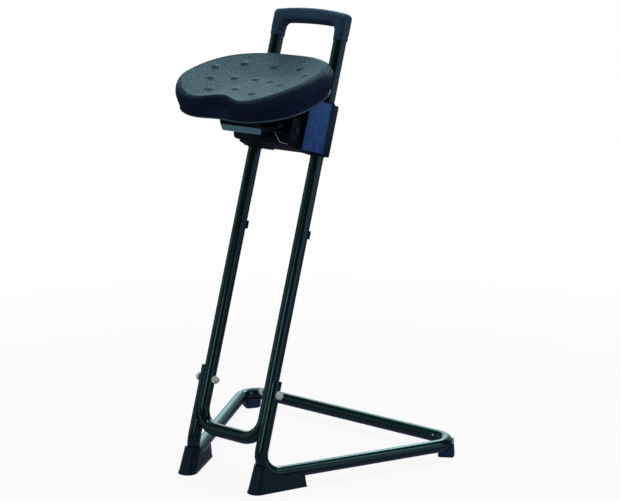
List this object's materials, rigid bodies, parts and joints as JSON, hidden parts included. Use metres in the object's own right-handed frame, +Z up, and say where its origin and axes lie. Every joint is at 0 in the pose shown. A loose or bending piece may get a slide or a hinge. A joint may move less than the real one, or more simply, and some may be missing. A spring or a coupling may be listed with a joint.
{
  "type": "perch stool",
  "caption": "Leaning sit-stand stool: bent tube frame with a top handle, a seat carriage that slides on the uprights with a squeeze release, and a dished seat.",
  "frame": {"origin": "on the floor, under the middle of the stool's overall width and depth", "axes": "+Z up; +Y towards the rear of the stool, where the wide end of the base is; +X to the side"},
  "size_m": [0.5374, 0.4308, 0.8644],
  "materials": {
    "black_plastic": "satin",
    "black_sheet": "satin black",
    "gloss_black": "gloss powder coat",
    "grey_plastic": "satin",
    "navy_plastic": "satin, fine grain",
    "plywood": "unfinished plywood",
    "seat_skin": "grained polyurethane skin, semi-gloss",
    "slate_plastic": "satin",
    "spring_steel": "drawn wire",
    "zinc": "bright zinc plate"
  },
  "bodies": {
    "frame": {"base_frame": "gloss_black", "frame_bolt_left": "zinc", "frame_bolt_right": "zinc", "frame_nut_left": "zinc", "frame_nut_right": "zinc", "frame_washer_left": "zinc", "frame_washer_right": "zinc", "front_boot_left": "navy_plastic", "front_boot_right": "navy_plastic", "grip_collar_left": "black_plastic", "grip_collar_right": "black_plastic", "handle_grip": "navy_plastic", "rear_foot_left": "navy_plastic", "rear_foot_right": "navy_plastic", "stop_left": "black_plastic", "stop_right": "black_plastic", "stop_screw_left": "black_plastic", "stop_screw_right": "black_plastic", "upright_frame": "gloss_black", "vent_plug_left": "grey_plastic", "vent_plug_right": "grey_plastic"},
    "carriage": {"bracket_bolt_left_high": "zinc", "bracket_bolt_left_low": "zinc", "bracket_bolt_right_high": "zinc", "bracket_bolt_right_low": "zinc", "carriage_body": "navy_plastic", "cover_screw_left_high": "zinc", "cover_screw_left_low": "zinc", "cover_screw_right_high": "zinc", "cover_screw_right_low": "zinc", "glide_bush_lower_left": "black_plastic", "glide_bush_lower_right": "black_plastic", "glide_bush_upper_left": "black_plastic", "glide_bush_upper_right": "black_plastic", "housing_screw_left": "zinc", "housing_screw_right": "zinc", "lever_pin": "zinc", "lever_pin_ring": "spring_steel", "lever_spring": "spring_steel", "lock_spring_left": "spring_steel", "lock_spring_right": "spring_steel", "mechanism_housing": "black_plastic", "rear_cover_left": "navy_plastic", "rear_cover_right": "navy_plastic", "seat_bracket": "black_sheet", "seat_cushion": "seat_skin", "seat_plate": "plywood", "seat_screw_left_front": "zinc", "seat_screw_left_rear": "zinc", "seat_screw_right_front": "zinc", "seat_screw_right_rear": "zinc"},
    "release_lever": {"release_lever": "slate_plastic"},
    "lock_plate_left": {"lock_plate_left": "zinc"},
    "lock_plate_right": {"lock_plate_right": "zinc"}
  },
  "joints": [
    {"name": "height_slide", "type": "slide", "parent": "frame", "child": "carriage", "axis": [0, 0.3156, 0.9489], "range_m": [-0.1387, 0.1177]},
    {"name": "lever_squeeze", "type": "hinge", "parent": "carriage", "child": "release_lever", "pos_m": [0, -0.05527, 0.65468], "axis": [-1, 0, 0], "range_deg": [0, 13.6], "stiffness_Nm_per_rad": 0.6, "springref_deg": -22.92, "deforming": ["lever_spring"]},
    {"name": "lock_left_tilt", "type": "hinge", "parent": "carriage", "child": "lock_plate_left", "pos_m": [-0.075, 0.01638, 0.61662], "axis": [1, 0, 0], "range_deg": [0, 6], "deforming": ["lock_spring_left"]},
    {"name": "lock_right_tilt", "type": "hinge", "parent": "carriage", "child": "lock_plate_right", "pos_m": [0.075, 0.01638, 0.61662], "axis": [1, 0, 0], "range_deg": [0, 6], "deforming": ["lock_spring_right"]}
  ],
  "couplings": [
    {"joint": "lock_left_tilt", "follows": "lever_squeeze", "ratio": 0.44},
    {"joint": "lock_right_tilt", "follows": "lever_squeeze", "ratio": 0.44}
  ]
}
